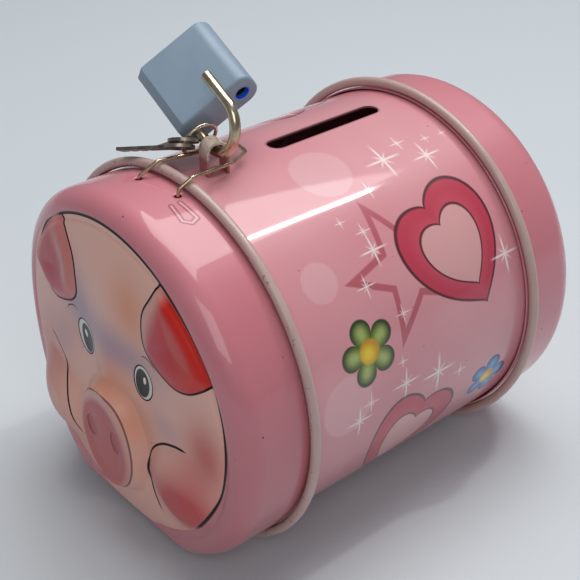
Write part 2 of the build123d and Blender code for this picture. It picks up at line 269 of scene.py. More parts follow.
def star(tree, fields):
    """Distance outside a five-pointed star's edge, below zero within it, in its own size."""
    s, t, at_s, at_t, reach, turn = fields
    a, b = (s - at_s) / reach, (t - at_t) / reach
    sector = 2 * math.pi / 5
    angle = b.op("ARCTAN2", a) + turn + 4 * sector
    fold = (angle.op("MODULO", sector) - sector / 2).size()
    out = far(a, b)
    px, py = out * fold.op("COSINE"), out * fold.op("SINE")
    valley, tip = (0.42, 0.0), (math.cos(sector / 2), math.sin(sector / 2))
    dx, dy = tip[0] - valley[0], tip[1] - valley[1]
    length = math.hypot(dx, dy)
    return [(px - valley[0]) * (dy / length) - (py - valley[1]) * (dx / length)]


SPARKLE = group("glint", ["s", "t", "at_s", "at_t", "reach"], ["mask"], sparkle)
FLOWER = group("flower", ["s", "t", "at_s", "at_t", "reach", "turn"],
               ["mask", "shade", "rib", "middle"], petals)
HEART = group("heart", ["s", "t", "at_s", "at_t", "reach", "turn"], ["edge"], heart)
STAR = group("star", ["s", "t", "at_s", "at_t", "reach", "turn"], ["edge"], star)


def lacquer(tree, fields):
    """Printed tin's lacquer: rare dark specks and a faint orange-peel height."""
    amount, = fields
    specks = speckle(tree, 640, 1.0).inside(0.185, 0.02) * amount
    peel = speckle(tree, 520, 2.0) * 0.35 + speckle(tree, 60, 1.0) * 2.5
    return [specks, peel]


def rust(tree, fields):
    """Patches of rust that start in hollows and edges."""
    amount, = fields
    patch = speckle(tree, 700, 6.0) * 0.6 + speckle(tree, 2600, 4.0) * 0.4
    return [(patch - amount * 0.5).inside(0.24, 0.07)]


LACQUER = group("lacquer_wear", ["amount"], ["specks", "peel"], lacquer)
RUST = group("rust", ["amount"], ["mask"], rust)

# ---- printing inks, lacquers and a few painted shades --------------------------------------
PINK = srgb(210, 129, 140)
# painted shade for the barrel's sides and underside
PINK_UNDERSIDE_SHADE = srgb(166, 88, 98)
PINK_PALE = srgb(220, 154, 160)
PINK_CAP = srgb(204, 118, 128)
PINK_SHADE = srgb(168, 82, 88)
MAROON = srgb(86, 24, 30)
WHITE = srgb(244, 228, 226)
SPECK = srgb(70, 34, 36)
BUBBLE = srgb(228, 184, 188)
STAR_LINE = srgb(176, 68, 84)
HEART_RED, HEART_LIGHT, HEART_MIDDLE = srgb(190, 54, 78), srgb(220, 112, 128), srgb(222, 170, 168)
GREEN_PETAL = (srgb(30, 52, 12), srgb(104, 128, 30), srgb(196, 208, 124))  # dark, light, gleam
BLUE_PETAL = (srgb(6, 56, 128), srgb(24, 112, 184), srgb(112, 172, 214))
YELLOW_DEEP, YELLOW = srgb(200, 140, 6), srgb(236, 200, 24)
# painted shade round the coin slot
SLOT_SHADE = srgb(120, 60, 70)
CREAM, CREAM_WORN = srgb(198, 172, 164), srgb(186, 146, 142)
# CURL_GAP_SHADE: painted shade in the gap where the roll tucks against the skirt
CURL_TICK, CURL_GAP_SHADE, CURL_SPECK = srgb(96, 74, 64), srgb(58, 36, 34), srgb(60, 44, 40)
SKIN, SKIN_COOL = srgb(236, 182, 166), srgb(158, 136, 160)
SKIN_WARM, SKIN_ROSY = srgb(224, 140, 104), srgb(190, 56, 62)
EAR_PINK, EAR_RED, EAR_PALE = srgb(190, 78, 92), srgb(206, 26, 8), srgb(226, 172, 152)
SNOUT_TOP, SNOUT_LOW, SNOUT_RIM = srgb(190, 92, 98), srgb(196, 98, 94), srgb(202, 154, 150)
NOSTRIL_FILL, NOSTRIL_LINE = srgb(128, 52, 62), srgb(96, 30, 38)
EYEBALL, PUPIL, INK, RING_INK = srgb(222, 214, 210), srgb(18, 14, 18), srgb(22, 6, 8), srgb(20, 5, 8)
# painted shade along the sides of the pressed U
MARK_EDGE_SHADE = srgb(120, 52, 58)
PLASTIC, PLASTIC_LIGHT = srgb(132, 152, 168), srgb(146, 164, 182)
SLEEVE_BLUE = srgb(26, 104, 240)
RUST_BROWN, RUST_DARK = srgb(110, 50, 26), srgb(96, 44, 26)
STAPLE_PINK, STAPLE_CREAM, STAPLE_WORN = srgb(190, 110, 116), srgb(204, 188, 170), srgb(150, 90, 66)
FLOOR_PALE = srgb(206, 212, 216)
LACQUER_ROUGHNESS, CURL_ROUGHNESS = 0.42, 0.36
COAT, COAT_ON_FACE, COAT_ROUGHNESS = 0.8, 0.2, 0.06


def lacquered(tree, shader, colour, speck=SPECK, roughness=LACQUER_ROUGHNESS, depth=0.02,
              raised=None):
    """Finishes a printed colour with its specks, its gloss and its faint relief."""
    specks, peel = place(tree, LACQUER, 1.0)
    colour = blend(tree, specks * 0.8, colour, speck)
    shader.inputs["Roughness"].default_value = roughness
    height = peel if raised is None else peel + raised
    feed(tree, shader, colour, normal=bump(tree, height, depth))



# what is printed on the barrel: distance round it from its top, distance behind the front
# rim, reach, and for some the turn in radians
GLINTS = [(16.8, 44.6, 5.5), (19.8, 55.5, 4.5), (22.2, 35.5, 2.6), (34.5, 27.9, 4.2),
          (40.7, 22.3, 3.0), (49.2, 29.3, 2.4), (26.5, 23.9, 1.7), (30.1, 27.9, 2.4),
          (59.4, 27.0, 1.8), (65.1, 27.9, 4.4), (67.0, 38.1, 5.6), (65.2, 17.5, 2.8),
          (68.4, 14.3, 4.2), (70.1, 45.5, 2.4), (47.6, 62.3, 5.0), (14.0, 51.4, 2.6),
          (15.6, 58.9, 1.7), (15.9, 64.1, 1.5)]
BUBBLES = [(13.8, 28.8, 7.2), (63.0, 11.0, 7.0), (36.0, 12.0, 4.5), (-24.0, 20.0, 7.5)]
HEARTS = [(42.0, 49.5, 15.0, 1.9), (84.0, 31.0, 14.0, 1.2), (-24.0, 47.0, 11.5, -1.3),
          (-78.0, 24.0, 14.0, -1.2)]
FLOWERS = [(53.4, 18.3, 7.6, 0.35, GREEN_PETAL), (78.0, 57.0, 6.2, 0.9, BLUE_PETAL),
           (-46.0, 16.0, 7.0, 0.2, BLUE_PETAL), (-52.0, 56.0, 7.0, 0.7, GREEN_PETAL)]
STARS, STAR_REACH = [(40.5, 34.5, 0.42), (-60.0, 40.0, 0.9)], 17.5


def barrel_paint():
    made, tree, shader = new_material("printed_barrel", COAT, COAT_ROUGHNESS)
    x, y, z = object_mm(tree)
    up = z - AXIS_Z
    s, t = x.op("ARCTAN2", up) * TUBE_RADIUS, y - FRONT_RIM_Y
    cloud = speckle(tree, 26, 2.0)
    tone = blend(tree, cloud.inside(0.5, 0.5), PINK, PINK_PALE)
    # painted shade: the barrel's pink darkens from its sides down round its underside
    low = ((s.size() - 60) / 60).op("ADD", 0.0, clamp=True)
    colour = blend(tree, low * 0.8, tone, PINK_UNDERSIDE_SHADE)
    for at_s, at_t, reach in BUBBLES:
        out = far(s - at_s, t - at_t) / reach
        colour = blend(tree, out.inside(0.97, 0.08) * 0.4, colour, BUBBLE)
    for at_s, at_t, turn in STARS:
        edge, = place(tree, STAR, s, t, at_s, at_t, STAR_REACH, turn)
        ring = (edge + 0.045).band(0.085, 0.02)
        colour = blend(tree, ring * 0.8, colour, STAR_LINE)
    for at_s, at_t, reach, turn in HEARTS:
        edge, = place(tree, HEART, s, t, at_s, at_t, reach, turn)
        body = edge.inside(0.0, 0.03)
        inner = (edge + 0.36).inside(0.0, 0.03)
        glow = (edge + 0.6).inside(0.0, 0.9)
        fill = blend(tree, glow, HEART_RED, HEART_LIGHT)
        fill = blend(tree, inner * 0.85, fill, HEART_MIDDLE)
        colour = blend(tree, body, colour, fill)
        line = edge.band(0.05, 0.02).most((edge + 0.36).band(0.035, 0.02))
        colour = blend(tree, line, colour, MAROON)
    for at_s, at_t, reach, turn, (dark, light, gleam) in FLOWERS:
        mask, shade, rib, middle = place(tree, FLOWER, s, t, at_s, at_t, reach, turn)
        petal = blend(tree, shade.inside(0.72, 0.5), dark, light)
        petal = blend(tree, rib * 0.6, petal, gleam)
        colour = blend(tree, mask, colour, petal)
        hub = far(s - at_s - 0.4, t - at_t + 0.4) / reach
        centre = blend(tree, hub.inside(0.22, 0.25), YELLOW_DEEP, YELLOW)
        colour = blend(tree, middle, colour, centre)
    glints = None
    far_side = [(-at_s, at_t, reach) for at_s, at_t, reach in GLINTS[::2]]
    for at_s, at_t, reach in GLINTS + far_side:
        mask, = place(tree, SPARKLE, s, t, at_s, at_t, reach)
        glints = mask if glints is None else glints.most(mask)
    colour = blend(tree, glints * 0.95, colour, WHITE)
    # painted shade: a dark band just outside the coin slot's edge
    slot_middle = SLOT_FROM_RIM + SLOT_LENGTH / 2
    past_straight = (t - slot_middle).size() - (SLOT_LENGTH - SLOT_WIDTH) / 2
    slot_edge = far(x, past_straight.most(0.0)) - SLOT_WIDTH / 2
    colour = blend(tree, (slot_edge - 0.1).band(0.5, 0.3) * 0.6, colour, SLOT_SHADE)
    lacquered(tree, shader, colour)
    return made


# ---- pressed caps and the face -------------------------------------------------------------
def outline_radius(theta, radius):
    """Distance from the axis to the flattened outline, theta measured from the top."""
    flat = radius - BASE_DROP
    corner = BASE_CORNER + radius - TUBE_RADIUS
    up, side = np.cos(theta), np.abs(np.sin(theta))
    cz = -(flat - corner)
    cx = math.sqrt(max((radius - corner) ** 2 - cz ** 2, 0.0))
    along = side * cx + up * cz
    inner = np.maximum(corner ** 2 - (cx ** 2 + cz ** 2 - along ** 2), 0)
    round_corner = along + np.sqrt(inner)
    base = flat / np.maximum(-up, 1e-6)
    on_base = (up < 0) & (base * side < cx)
    on_corner = ~on_base & (up < 0) & (side / np.maximum(-up, 1e-6) < cx / -cz)
    return np.where(on_base, base, np.where(on_corner, round_corner, radius))


def smooth_line(points, steps=14):
    """A Catmull-Rom line through the points."""
    p = np.array([points[0]] + list(points) + [points[-1]], float)
    out = []
    for i in range(1, len(p) - 2):
        for k in range(steps):
            u = k / steps
            out.append(0.5 * (2 * p[i] + (p[i + 1] - p[i - 1]) * u
                              + (2 * p[i - 1] - 5 * p[i] + 4 * p[i + 1] - p[i + 2]) * u * u
                              + (3 * p[i] - p[i - 1] - 3 * p[i + 1] + p[i + 2]) * u ** 3))
    return np.array(out + [p[-2]])


def nearest(u, v, line):
    """Distance from each place to a line of points, and the side of the line it is on."""
    best, side = np.full(u.shape, 1e9), np.ones(u.shape)
    for (ax, ay), (bx, by) in zip(line[:-1], line[1:]):
        dx, dy = bx - ax, by - ay
        span = max(dx * dx + dy * dy, 1e-9)
        k = np.clip(((u - ax) * dx + (v - ay) * dy) / span, 0, 1)
        gap = np.hypot(u - ax - k * dx, v - ay - k * dy)
        side = np.where(gap < best, np.sign(dx * (v - ay) - dy * (u - ax)), side)
        best = np.minimum(best, gap)
    return best, side


def from_line(u, v, line):
    """Distance from each place to a line of points."""
    return nearest(u, v, line)[0]


def beside(u, v, line):
    """Signed distance to an open line, and a mask that falls to nothing past its ends."""
    best, side = nearest(u, v, line)
    ends = np.minimum(np.hypot(u - line[0][0], v - line[0][1]),
                      np.hypot(u - line[-1][0], v - line[-1][1]))
    past = ends - best < 0.02
    return side * best, np.where(past, 0.0, np.clip((ends - best) / FOLD_TAPER, 0, 1))


def within(u, v, line):
    """Whether each place is inside a closed line."""
    hit = np.zeros(u.shape, bool)
    for (ax, ay), (bx, by) in zip(line, np.roll(line, -1, axis=0)):
        if ay != by:
            crosses = ((ay > v) != (by > v)) & (u < (bx - ax) * (v - ay) / (by - ay) + ax)
            hit ^= crosses
    return hit


def step(value, low, high):
    k = np.clip((value - low) / (high - low), 0, 1)
    return k * k * (3 - 2 * k)


FOLD_TAPER = 1.5  # length over which a printed fold line runs out to nothing
EAR = [(18.4, 32.9), (16.0, 29.0), (13.7, 25.0), (13.0, 20.5), (13.4, 16.4), (15.6, 13.6),
       (18.9, 11.9), (22.8, 11.0), (26.9, 12.0), (31.0, 14.8), (33.6, 17.2)]
LEFT_EAR_SHIFT = (2.6, 2.0)  # how far the left ear sits inward and up of the right one's mirror
LEFT_CHEEK = [(-26.5, 1.6), (-23.4, 0.0), (-20.0, -3.4), (-18.0, -8.0), (-16.8, -13.6),
              (-16.4, -19.2), (-15.5, -23.0)]
RIGHT_CHEEK = [(25.2, -3.8), (21.4, -4.1), (17.0, -5.8), (13.4, -9.2), (11.5, -14.0),
               (10.9, -18.6), (11.4, -23.0), (13.4, -27.5)]
BROW = [(11.4, 13.3), (13.2, 13.9), (15.2, 13.1), (16.4, 11.7)]
FACE_RADIUS, FACE_RISE = 36.5, 1.9
RIGHT_EYE, LEFT_EYE = (11.3, 6.5), (9.6, 7.7)  # from the face's middle line
NOSTRIL = (4.4, -11.2)
SNOUT_MIDDLE = -12.9


def oval(u, v, cx, cy, rx, ry, lean=0.0):
    """About how far outside an oval a place is, in millimetres."""
    c, s = math.cos(lean), math.sin(lean)
    a, b = (u - cx) * c + (v - cy) * s, (v - cy) * c - (u - cx) * s
    k = np.hypot(a / rx, b / ry)
    slope = np.hypot(a / rx ** 2, b / ry ** 2) / np.maximum(k, 1e-6)
    return (k - 1) / np.maximum(slope, 1e-6)


def soft_spot(a, b, rx, ry):
    """1 in the middle of an oval spot, fading smoothly all round."""
    return np.exp(-((a / rx) ** 2 + (b / ry) ** 2))


def face_fields(u, v):
    """The printed face as distances (mm) and soft patches (0-1), by place on the lid's end."""
    m = np.abs(u)
    left = u < 0
    ear_m = np.where(left, m + LEFT_EAR_SHIFT[0], m)
    ear_v = np.where(left, v - LEFT_EAR_SHIFT[1], v)
    face = np.hypot(u, v - FACE_RISE) - FACE_RADIUS
    ear_line = smooth_line(EAR)
    rim_angles = np.linspace(math.atan2(EAR[-1][0], EAR[-1][1] - FACE_RISE),
                             math.atan2(EAR[0][0], EAR[0][1] - FACE_RISE), 30)
    rim = [(FACE_RADIUS * math.sin(a), FACE_RISE + FACE_RADIUS * math.cos(a))
           for a in rim_angles]
    closed = np.vstack([ear_line, rim])
    loop = np.vstack([closed, closed[:1]])
    ear = np.where(within(ear_m, ear_v, closed), -1, 1) * from_line(ear_m, ear_v, loop)
    f = {"face": face, "ear": ear}
    angle = np.degrees(np.arctan2(u, v - FACE_RISE))
    f["fade"] = step(angle, -34, -26) * (1 - step(angle, 128, 138))
    f["left_fold"], f["left_fade"] = beside(u, v, smooth_line(LEFT_CHEEK))
    f["right_fold"], f["right_fade"] = beside(u, v, smooth_line(RIGHT_CHEEK))
    f["brow"], f["brow_fade"] = beside(m, v, smooth_line(BROW))
    eye_m = m - np.where(left, LEFT_EYE[0], RIGHT_EYE[0])
    eye_v = v - np.where(left, LEFT_EYE[1], RIGHT_EYE[1])
    f["eye_white"] = oval(eye_m, eye_v, 0, 0, 3.2, 4.2, -0.12)
    f["pupil"] = oval(eye_m, eye_v, -0.4, -0.3, 2.35, 3.5, -0.1)
    f["glint"] = oval(eye_m, eye_v, 0.25, 0.5, 0.5, 0.95, -0.15)
    f["snout"] = oval(u, v, 0, SNOUT_MIDDLE - 1.0, 8.0, 11.2)
    f["snout_all"] = oval(u, v, 0, SNOUT_MIDDLE, 9.2, 12.9)
    f["nostril"] = oval(m, v, NOSTRIL[0], NOSTRIL[1], 1.5, 2.7, 0.0)

    def patch(cx, cy, rx, ry):
        return soft_spot(u - cx, v - cy, rx, ry)

    f["cool"] = np.clip(patch(4, 11, 14, 6) + 0.9 * patch(-11, 17, 6, 8)
                        + 0.5 * patch(18, -1, 5, 4) + 0.5 * patch(-21, 3, 7, 6), 0, 1)
    f["warm"] = np.clip(0.9 * patch(9, 23, 6, 8) + 0.8 * patch(1, 3, 6, 5)
                        + 0.7 * patch(9, -5, 6, 6), 0, 1)
    f["rosy"] = np.clip(1.25 * patch(25, -17, 10, 8) + 0.8 * patch(31, -1, 6, 8)
                        + 0.6 * patch(-29, -8, 10, 14) + 0.5 * patch(-26, -26, 10, 8), 0, 1)
    f["ear_red"] = step(m + 0.55 * v, 24, 38) * step(m, 15, 22) * np.where(left, 0.1, 1)
    f["ear_pale"] = 1 - step(1.25 * (m - 13) - 0.55 * (v - 20), 0.5, 5.5)
    f["ear_pale"] *= np.where(left, 0.5, 1)
    return f


# heights and depths of the pressing, in millimetres
DOME, SNOUT, SNOUT_DISH, BRIDGE, CHEEK, BROW_SWELL = 1.5, 4.0, 0.35, 1.3, 3.4, 1.0
EAR_SWELL, EAR_DISH, EYE_HOLLOW, NOSTRIL_DIP = 1.1, 1.0, 0.7, 0.3
RING_GROOVE, FOLD_GROOVE, EDGE_GROOVE = 0.45, 0.25, 0.35
EDGE_RADIUS = 36.9  # where the flat land meets the rounded shoulder


def face_relief(u, v):
    """How far the pressed face stands out of the lid's flat end, in millimetres."""
    m = np.abs(u)
    out = np.hypot(u, v - FACE_RISE)
    f = face_fields(u, v)
    dome = DOME * np.clip(1 - (out / FACE_RADIUS) ** 2, 0, 1)
    k = oval(u, v, 0, SNOUT_MIDDLE, 9.6, 13.2)
    snout = SNOUT * (1 - step(k, -1.6, 2.4)) - SNOUT_DISH * (1 - step(k, -5.5, -1.5))
    bridge = BRIDGE * soft_spot(u, v - 3, 5.0, 9.0)
    cheek = CHEEK * (1 - step(np.hypot((m - 23.0) / 13.0, (v + 15.0) / 12.5), 0.2, 1.05))
    fold = smooth_line(RIGHT_CHEEK)
    crease = np.minimum(from_line(u, v, fold), from_line(-u, v, fold))
    hollow = -EYE_HOLLOW * soft_spot(m - 10.5, v - 7, 5.5, 6.0)
    brow = BROW_SWELL * soft_spot(u, v - 24, 17.0, 9.0)
    ear = (EAR_SWELL * (1 - step(f["ear"], -3.0, 0.3))
           - EAR_DISH * (1 - step(f["ear"], -9.0, -3.0)))
    groove = (-RING_GROOVE * np.exp(-(f["face"] / 0.9) ** 2)
              - FOLD_GROOVE * np.exp(-(crease / 1.3) ** 2))
    nostril = -NOSTRIL_DIP * (1 - step(f["nostril"], -0.9, 0.4))
    total = dome + snout + bridge + cheek + hollow + brow + ear + groove + nostril
    on_face = 1 - step(out, FACE_RADIUS - 0.5, FACE_RADIUS + 1.6)
    edge = -EDGE_GROOVE * np.exp(-((np.hypot(u, v) - EDGE_RADIUS) / 0.45) ** 2)
    return np.clip(total * on_face + edge, -0.7, SNOUT_RISE - 0.1), f


AROUND = 480
LEAN_FROM = 20.0  # how far left of the middle the lid's end starts to lean back
LID_LEAN = 3.4  # how far back it has leant at its left edge
SHOULDER_START = 30  # how many rings of the mesh make a cap's straight skirt
THETA = np.linspace(0, 2 * math.pi, AROUND, endpoint=False)


def ring_points(radius, y):
    reach = outline_radius(THETA, radius)
    return np.stack([reach * np.sin(THETA), np.full(AROUND, y), AXIS_Z + reach * np.cos(THETA)], 1)


def mesh_piece(name, points, faces, attributes=None, smooth=True):
    mesh = bpy.data.meshes.new(name)
    mesh.from_pydata((np.asarray(points) * MM).tolist(), [], faces)
    mesh.update()
    for label, values in (attributes or {}).items():
        layer = mesh.attributes.new(label, "FLOAT", "POINT")
        layer.data.foreach_set("value", np.asarray(values, np.float32))
    piece = bpy.data.objects.new(name, mesh)
    bpy.context.scene.collection.objects.link(piece)
    if smooth:
        mesh.polygons.foreach_set("use_smooth", [True] * len(mesh.polygons))
    return piece


def bridge_rings(count, around, closed_end=None):
    """Quads between rings of points laid one after another."""
    faces = []
    for r in range(count - 1):
        for k in range(around):
            n = (k + 1) % around
            faces.append((r * around + k, r * around + n, (r + 1) * around + n,
                          (r + 1) * around + k))
    if closed_end is not None:
        last = (count - 1) * around
        faces += [(last + k, last + (k + 1) % around, closed_end) for k in range(around)]
    return faces


def cap_shell(name, rim_y, direction, relief, holes=(), leans=0.0):
    """A pressed cap's skin from the rim over the shoulder to the middle of its end."""
    rings = []
    for depth in np.linspace(-0.9, CAP_DEPTH - CAP_SHOULDER, SHOULDER_START):
        rings.append(ring_points(SKIRT_RADIUS, rim_y + direction * depth))
    for bend in np.radians(np.linspace(9, 90, 10)):
        radius = SKIRT_RADIUS - CAP_SHOULDER * (1 - math.cos(bend))
        depth = CAP_DEPTH - CAP_SHOULDER + CAP_SHOULDER * math.sin(bend)
        rings.append(ring_points(radius, rim_y + direction * depth))
    edge = rings[-1]
    skirt_count = len(rings)
    for part in np.linspace(1, 0, 110)[1:-1]:
        ring = edge.copy()
        ring[:, 0] *= part
        ring[:, 2] = AXIS_Z + (ring[:, 2] - AXIS_Z) * part
        rings.append(ring)
    points = np.vstack(rings + [np.array([[0, rim_y + direction * CAP_DEPTH, AXIS_Z]])])
    u, v = points[:, 0], points[:, 2] - AXIS_Z
    height, fields = relief(u, v)
    on_end = np.arange(len(points)) >= (skirt_count - 1) * AROUND
    points[:, 1] += np.where(on_end, direction * height, 0)
    lean = np.clip((-points[:, 0] - LEAN_FROM) / (SKIRT_RADIUS - LEAN_FROM), 0, 1) ** 1.5
    deep = np.clip((points[:, 1] - rim_y) * direction / CAP_DEPTH, 0, 1) ** 2
    points[:, 1] -= direction * leans * lean * deep
    faces = bridge_rings(len(rings), AROUND, len(points) - 1)
    if direction < 0:
        faces = [f[::-1] for f in faces]
    if holes:
        faces, points = punched(points, faces, holes)
    fields = dict(fields or {})
    fields["end"] = (np.arange(len(points)) >= SHOULDER_START * AROUND).astype(float)
    piece = mesh_piece(name, points, faces, fields)
    shell = piece.modifiers.new("thickness", "SOLIDIFY")
    shell.thickness, shell.offset = SHEET * MM, -1.0
    return piece


def punched(points, faces, holes):
    """Opens round holes down through the top of the skirt."""
    points = points.copy()
    for hx, hy, radius in holes:
        gap = np.hypot(points[:, 0] - hx, points[:, 1] - hy)
        near = (gap < radius * 1.35) & (points[:, 2] > AXIS_Z)
        inside = near & (gap < radius * 0.62)
        moved = near & ~inside
        scale = radius / np.maximum(gap, 1e-6)
        points[moved, 0] = hx + (points[moved, 0] - hx) * scale[moved]
        points[moved, 1] = hy + (points[moved, 1] - hy) * scale[moved]
        faces = [f for f in faces if not all(near[i] for i in f)]
    return faces, points


def curl_ring(name, rim_y, direction):
    """The rim rolled outward: a C-shaped roll whose free edge comes back to the skirt."""
    turns = 26
    wave = np.array([perlin.noise(Vector((math.sin(a) * 9, math.cos(a) * 9, 3 * direction)))
                     for a in THETA])
    start, end = math.pi, -math.radians(152) + 0.13 * wave
    rings = []
    for part in np.linspace(0, 1, turns):
        phi = start + (end - start) * part
        radius = CURL_WIRE - 0.02 - 0.06 * part + 0.02 * wave
        reach = CURL_RADIUS + radius * np.cos(phi)
        y = rim_y - direction * radius * np.sin(phi)
        r = np.array([outline_radius(np.array([a]), q)[0] for a, q in zip(THETA, reach)])
        z = np.maximum(r * np.cos(THETA), -AXIS_Z)
        rings.append(np.stack([r * np.sin(THETA), y, AXIS_Z + z], 1))
    faces = bridge_rings(turns, AROUND)
    if direction < 0:
        faces = [f[::-1] for f in faces]
    across = np.repeat(np.linspace(0, 1, turns), AROUND)
    piece = mesh_piece(name, np.vstack(rings), faces, {"across": across})
    shell = piece.modifiers.new("thickness", "SOLIDIFY")
    shell.thickness, shell.offset = CURL_SHEET * MM, -1.0
    return piece


def line_distance(s, t, points):
    """Distance in the print to a line through a few points."""
    best = None
    for (ax, ay), (bx, by) in zip(points[:-1], points[1:]):
        dx, dy = bx - ax, by - ay
        span = dx * dx + dy * dy
        along = ((s - ax) * (dx / span) + (t - ay) * (dy / span)).op("ADD", 0.0, clamp=True)
        gap = far(s - ax - along * dx, t - ay - along * dy)
        best = gap if best is None else best.least(gap)
    return best


# the U pressed in the lid's skirt beside the right-hand hole
PRESSED_U = [(8.3, -6.2), (13.1, -7.0), (14.4, -5.6), (13.7, -3.8), (8.2, -4.0)]


def cap_tone(tree):
    """The caps' slightly uneven pink."""
    return blend(tree, speckle(tree, 30, 2.0).inside(0.5, 0.5), PINK_CAP, PINK)


# half width of the dark circle round the face, widths of the other printed lines, and their
# soft edge, in millimetres
RING_HALF, EAR_LINE, SNOUT_LINE, EYE_LINE, PRINT_BLUR = 0.31, 0.5, 0.26, 0.36, 0.12
FOLD_LINES = (("left_fold", "left_fade", 0.22), ("right_fold", "right_fade", 0.27),
              ("brow", "brow_fade", 0.16))


def lid_paint():
    made, tree, shader = new_material("printed_lid", COAT, COAT_ROUGHNESS)
    names = ("face", "ear", "fade", "left_fold", "left_fade", "right_fold", "right_fade", "brow",
             "brow_fade", "eye_white", "pupil", "glint", "snout", "snout_all", "nostril", "cool",
             "warm", "rosy", "ear_red", "ear_pale", "end")
    f = {n: carried(tree, n) for n in names}
    x, y, z = object_mm(tree)
    s, t = x.op("ARCTAN2", z - AXIS_Z) * SKIRT_RADIUS, y - FRONT_RIM_Y
    tone = cap_tone(tree)
    low = ((x - 8) / 46).op("ADD", 0.0, clamp=True) * ((z - 84) / -70).op("ADD", 0.0, clamp=True)
    pink = blend(tree, low * 0.8, tone, PINK_SHADE)
    skin = blend(tree, f["cool"] * 0.8, SKIN, SKIN_COOL)
    skin = blend(tree, f["warm"] * 0.85, skin, SKIN_WARM)
    skin = blend(tree, f["rosy"] * 0.95, skin, SKIN_ROSY)
    ear = blend(tree, f["ear_red"], EAR_PINK, EAR_RED)
    ear = blend(tree, f["ear_pale"] * 0.7, ear, EAR_PALE)
    skin = blend(tree, f["ear"].inside(0.0, 0.15), skin, ear)
    lower = ((z - AXIS_Z + 4) / -24).op("ADD", 0.0, clamp=True)
    muzzle = blend(tree, lower, SNOUT_TOP, SNOUT_LOW)
    skin = blend(tree, f["snout_all"].inside(0.0, 0.2) * 0.7, skin, SNOUT_RIM)
    skin = blend(tree, f["snout"].inside(0.2, 1.6), skin, muzzle)
    skin = blend(tree, f["nostril"].inside(0.0, 0.2) * 0.2, skin, NOSTRIL_FILL)
    skin = blend(tree, f["nostril"].band(0.3, 0.12) * 0.75, skin, NOSTRIL_LINE)
    skin = blend(tree, f["eye_white"].inside(0.0, 0.1), skin, EYEBALL)
    skin = blend(tree, f["pupil"].inside(0.0, 0.12), skin, PUPIL)
    skin = blend(tree, f["glint"].inside(0.0, 0.12), skin, WHITE)
    ink = f["ear"].band(EAR_LINE, PRINT_BLUR)
    ink = ink.most(f["snout_all"].band(SNOUT_LINE, PRINT_BLUR) * 0.7)
    ink = ink.most(f["eye_white"].band(EYE_LINE, PRINT_BLUR))
    for fold, fade, half in FOLD_LINES:
        line = (f[fold].size() - f[fade] * half).inside(0.0, PRINT_BLUR)
        ink = ink.most(line * f[fade].inside(0.1, 0.1).flipped())
    skin = blend(tree, ink, skin, INK)
    colour = blend(tree, f["face"].inside(0.0, 0.1) * f["end"], pink, skin)
    outline = (f["face"].size() - f["fade"] * RING_HALF).inside(0.0, PRINT_BLUR)
    outline = outline * f["fade"] * f["end"]
    colour = blend(tree, outline, colour, RING_INK)
    on_face = f["face"].inside(0.0, 0.4) * f["end"]
    tree.links.new((on_face * (COAT_ON_FACE - COAT) + COAT).socket, shader.inputs["Coat Weight"])
    dry = (ink * on_face).most(outline)
    tree.links.new((dry * -0.35 + 0.4).socket, shader.inputs["Specular IOR Level"])
    mark = line_distance(s, t, PRESSED_U)
    on_top = (z - AXIS_Z).inside(20, 1).flipped()
    ridge = mark.inside(0.42, 0.5) * on_top
    # painted shade along both sides of the pressed U and a painted highlight along its crest, on top
    # of the bump's relief
    mark_side_shade = (mark - 0.5).band(0.26, 0.16) * on_top
    colour = blend(tree, mark_side_shade * 0.4, colour, MARK_EDGE_SHADE)
    colour = blend(tree, mark.inside(0.16, 0.2) * on_top * 0.3, colour, WHITE)
    lacquered(tree, shader, colour, raised=ridge * 14)
    return made


def rear_paint():
    made, tree, shader = new_material("printed_rear", COAT, COAT_ROUGHNESS)
    lacquered(tree, shader, cap_tone(tree))
    return made


def curl_paint():
    made, tree, shader = new_material("rolled_rim", coat=0.3, coat_rough=0.15)
    across = carried(tree, "across")
    # painted shade: the roll darkens toward its free edge, where it tucks back against the skirt,
    # broken up along the rim by noise
    shade_break = speckle(tree, 420, 3.0).inside(0.40, 0.06)
    gap_shade = across.inside(0.93, 0.05).flipped() * (shade_break * 0.8 + 0.2)
    ticks = speckle(tree, 950, 1.0, (1, 0.2, 1)).inside(0.33, 0.04)
    ticks = ticks * across.inside(0.62, 0.1).flipped()
    colour = blend(tree, speckle(tree, 160, 3.0) * 0.8, CREAM, CREAM_WORN)
    colour = blend(tree, ticks * 0.6, colour, CURL_TICK)
    colour = blend(tree, gap_shade, colour, CURL_GAP_SHADE)
    lacquered(tree, shader, colour, CURL_SPECK, CURL_ROUGHNESS, 0.03)
    return made


# ---- padlock frame -------------------------------------------------------------------------
def aimed(origin, heading, dip, roll):
    """Origin, width, depth and leg directions of the padlock."""
    turn, down, spin = (math.radians(a) for a in (heading, dip, roll))
    leg = Vector((math.cos(down) * math.cos(turn), math.cos(down) * math.sin(turn),
                  -math.sin(down)))
    level = Vector((-math.sin(turn), math.cos(turn), 0))
    across = level * math.cos(spin) + leg.cross(level) * math.sin(spin)
    return Vector(origin), across, leg.cross(across), leg


LOCK_AT = (-4.5, FRONT_RIM_Y + 10.5, AXIS_Z + 49.1)
LOCK_WIDTH, LOCK_HEIGHT, LOCK_DEPTH, LEG_SPACING = 19.0, 18.8, 8.6, 12.0
LOCK_WALL, LOCK_CHAMFER, LOCK_CORNER = 1.0, 1.9, 3.2
LEG_HOLE, FREE_HOLE, PLUG_HOLE = 1.32, 1.55, 2.42  # radii
lock_origin, lock_w, lock_t, lock_leg = aimed(LOCK_AT, -6, 23, 38)


def in_lock(x, y, z):
    return lock_origin + lock_w * x + lock_t * y + lock_leg * z


